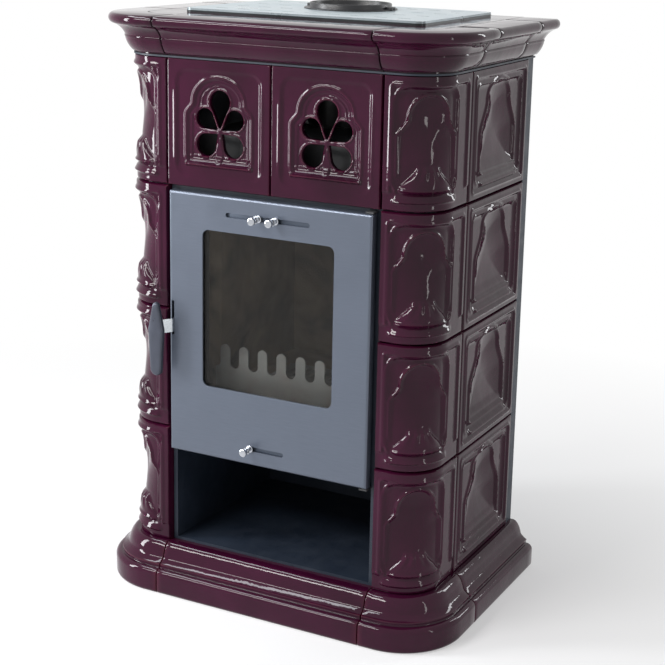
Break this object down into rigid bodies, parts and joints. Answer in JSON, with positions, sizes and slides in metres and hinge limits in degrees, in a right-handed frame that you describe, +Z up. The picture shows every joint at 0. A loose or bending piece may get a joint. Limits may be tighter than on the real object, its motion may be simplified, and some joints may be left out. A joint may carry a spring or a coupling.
{
  "type": "tiled stove",
  "caption": "Free-standing stove cased in burgundy relief tiles, with a glazed fire door, latch handle, sliding air controls, ash drawer, open log niche, vented top and flue collar.",
  "frame": {"origin": "centre of the footprint on the floor", "axes": "+X to the right as seen from the front, +Y to the back, +Z up; the door faces -Y"},
  "size_m": [0.694, 0.455, 1.052],
  "materials": {
    "glaze": "deep burgundy gloss glaze",
    "frame_steel": "dark blue-black matt paint",
    "firebox_steel": "black heat-resistant paint",
    "fireclay": "rough fireclay, sooted",
    "cast": "bare grey cast iron",
    "top_steel": "satin grey paint",
    "flue_enamel": "black heat-resistant paint",
    "door_steel": "satin blue-grey metallic paint",
    "rope": "braided glass-fibre rope",
    "glass": "clear ceramic glass, faintly smoked",
    "zinc": "zinc-plated steel",
    "grip_metal": "dark slate satin",
    "chrome": "polished"
  },
  "bodies": {
    "stove": {"corner_tile_1_left": "glaze", "side_tile_1_left": "glaze", "corner_tile_1_right": "glaze", "side_tile_1_right": "glaze", "corner_tile_2_left": "glaze", "side_tile_2_left": "glaze", "corner_tile_2_right": "glaze", "side_tile_2_right": "glaze", "corner_tile_3_left": "glaze", "side_tile_3_left": "glaze", "corner_tile_3_right": "glaze", "side_tile_3_right": "glaze", "corner_tile_4_left": "glaze", "side_tile_4_left": "glaze", "corner_tile_4_right": "glaze", "side_tile_4_right": "glaze", "fret_tile_left": "glaze", "plinth_corner_left": "glaze", "plinth_side_left": "glaze", "cornice_corner_left": "glaze", "cornice_side_left": "glaze", "cornice_rear_left": "glaze", "fret_tile_right": "glaze", "plinth_corner_right": "glaze", "plinth_side_right": "glaze", "cornice_corner_right": "glaze", "cornice_side_right": "glaze", "cornice_rear_right": "glaze", "plinth_front": "glaze", "cornice_front": "glaze", "carcass": "frame_steel", "front_frame": "frame_steel", "back_panel": "frame_steel", "cornice_plate": "frame_steel", "log_store_liner": "frame_steel", "firebox": "firebox_steel", "hinge_brackets": "firebox_steel", "latch_keeper": "firebox_steel", "fire_bed": "fireclay", "brick_back": "fireclay", "brick_side_left": "fireclay", "brick_side_right": "fireclay", "baffle": "fireclay", "grate": "cast", "log_retainer": "cast", "top_plate": "top_steel", "flue_collar": "flue_enamel"},
    "door": {"door_panel": "door_steel", "door_inner_frame": "door_steel", "door_rope_seal": "rope", "door_glass": "glass", "glass_tape": "rope", "glass_clips": "zinc", "handle_pivot": "zinc"},
    "latch_handle": {"handle_lever": "zinc", "handle_grip": "grip_metal"},
    "air_slide_left": {"air_slide_left": "chrome"},
    "air_slide_right": {"air_slide_right": "chrome"},
    "primary_slide": {"primary_slide": "chrome"},
    "ash_drawer": {"ash_drawer": "firebox_steel"}
  },
  "joints": [
    {"name": "door_hinge", "type": "hinge", "parent": "stove", "child": "door", "pos_m": [0.1885, -0.1805, 0.503], "axis": [0, 0, 1], "range_deg": [0, 110]},
    {"name": "handle_lift", "type": "hinge", "parent": "door", "child": "latch_handle", "pos_m": [-0.1885, -0.1805, 0.499], "axis": [-1, 0, 0], "range_deg": [0, 20]},
    {"name": "air_left", "type": "slide", "parent": "door", "child": "air_slide_left", "axis": [1, 0, 0], "range_m": [-0.05, 0]},
    {"name": "air_right", "type": "slide", "parent": "door", "child": "air_slide_right", "axis": [1, 0, 0], "range_m": [0, 0.05]},
    {"name": "primary_air", "type": "slide", "parent": "door", "child": "primary_slide", "axis": [1, 0, 0], "range_m": [0, 0.06]},
    {"name": "drawer_pull", "type": "slide", "parent": "stove", "child": "ash_drawer", "axis": [0, -1, 0], "range_m": [0, 0.144]}
  ],
  "couplings": [
    {"joint": "drawer_pull", "follows": "door_hinge", "m_per_rad": 0.075}
  ]
}
